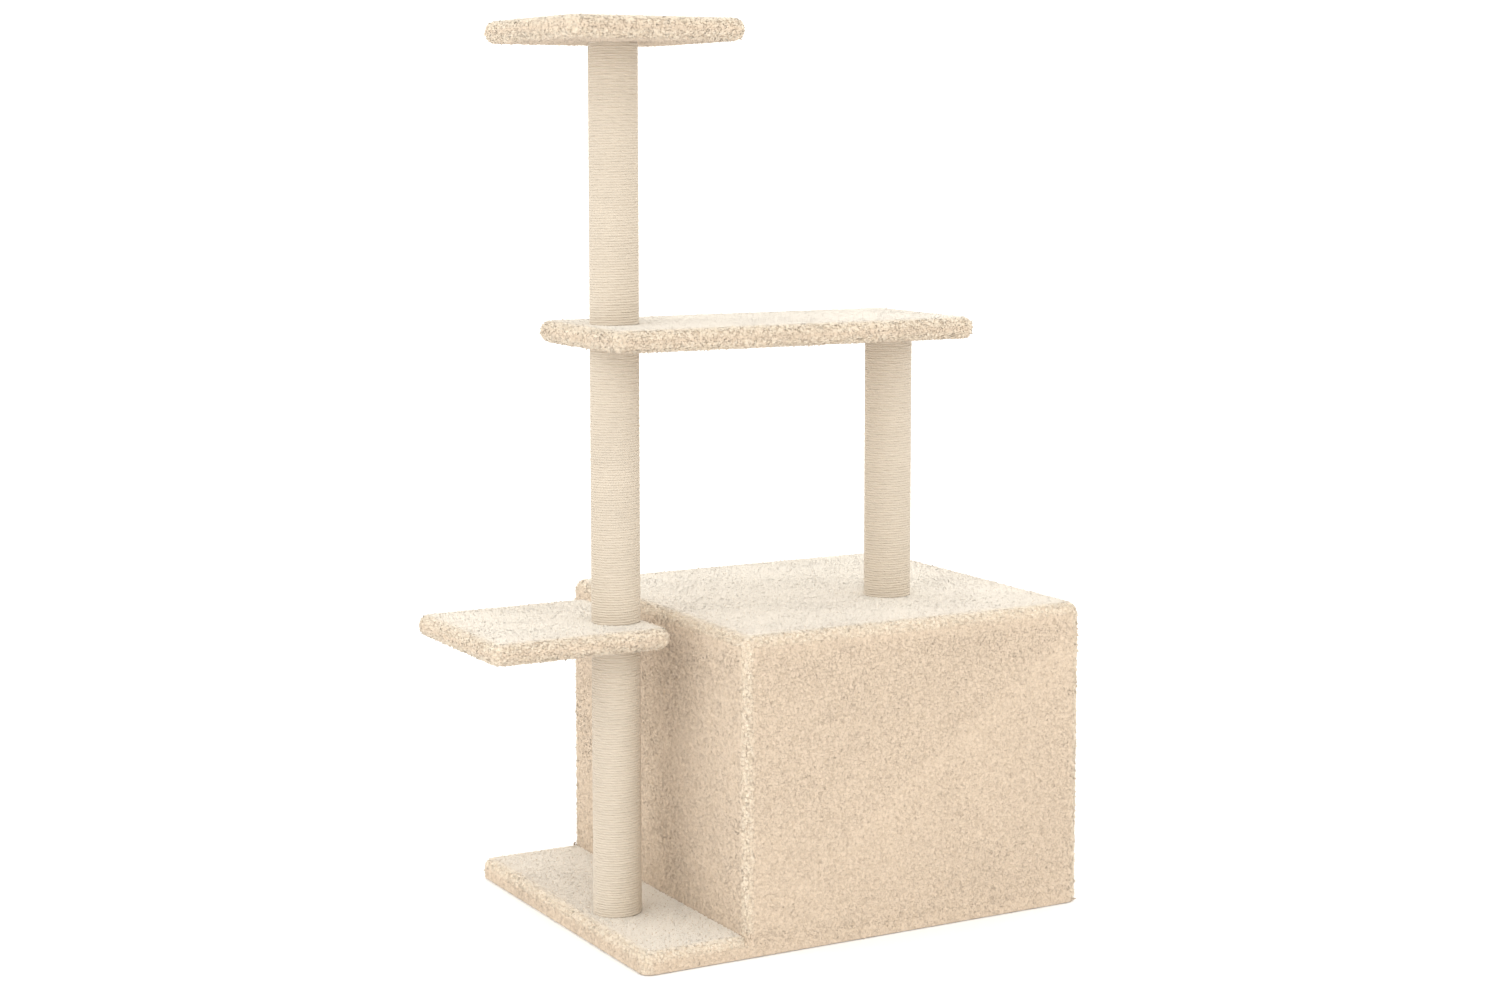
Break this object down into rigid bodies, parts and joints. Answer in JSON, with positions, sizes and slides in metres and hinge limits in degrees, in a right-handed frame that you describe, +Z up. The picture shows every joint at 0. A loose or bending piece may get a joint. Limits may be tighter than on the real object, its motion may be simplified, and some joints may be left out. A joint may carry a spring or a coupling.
{
  "type": "cat tree",
  "caption": "Free-standing cat tree: covered base with a corner condo, sisal posts, a step, a long shelf and a small top landing.",
  "frame": {"origin": "middle of the base's underside, on the floor", "axes": "+Z up; +X along the base's long side, from the open post side to the condo's closed end wall; +Y towards the side with the condo's doorway, so the plain long side faces -Y"},
  "size_m": [0.7582, 0.471, 1.1],
  "materials": {
    "plush": "short-pile plush, cream, matt",
    "sisal": "fine sisal cord wound round the post, matt",
    "chipboard": "raw chipboard",
    "cardboard": "spiral-wound card tube",
    "pine": "planed softwood",
    "plug_plastic": "moulded, matt",
    "steel": "bright zinc plate"
  },
  "bodies": {
    "root": {"base_board": "chipboard", "base_plush": "plush", "step_board": "chipboard", "step_plush": "plush", "shelf_board": "chipboard", "shelf_plush": "plush", "top_board": "chipboard", "top_plush": "plush", "lid_board": "chipboard", "lid_plush": "plush", "lower_post_sisal": "sisal", "lower_post_tube": "cardboard", "lower_post_lower_plug": "plug_plastic", "lower_post_upper_plug": "plug_plastic", "middle_post_sisal": "sisal", "middle_post_tube": "cardboard", "middle_post_lower_plug": "plug_plastic", "middle_post_upper_plug": "plug_plastic", "upper_post_sisal": "sisal", "upper_post_tube": "cardboard", "upper_post_lower_plug": "plug_plastic", "upper_post_upper_plug": "plug_plastic", "condo_post_sisal": "sisal", "condo_post_tube": "cardboard", "condo_post_lower_plug": "plug_plastic", "condo_post_upper_plug": "plug_plastic", "condo_front_wall": "chipboard", "condo_front_plush": "plush", "condo_back_wall": "chipboard", "condo_back_plush": "plush", "condo_left_wall": "chipboard", "condo_left_plush": "plush", "condo_right_wall": "chipboard", "condo_right_plush": "plush", "back_left_batten": "pine", "back_left_lid_screw": "steel", "back_left_base_screw": "steel", "back_right_batten": "pine", "back_right_lid_screw": "steel", "back_right_base_screw": "steel", "front_left_batten": "pine", "front_left_lid_screw": "steel", "front_left_base_screw": "steel", "front_right_batten": "pine", "front_right_lid_screw": "steel", "front_right_base_screw": "steel", "base_bolt": "steel", "base_washer": "steel", "step_stud": "steel", "shelf_stud": "steel", "top_post_stud": "steel", "top_tee_nut": "steel", "shelf_end_post_stud": "steel", "shelf_end_tee_nut": "steel", "lid_bolt": "steel", "lid_washer": "steel"}
  },
  "joints": []
}
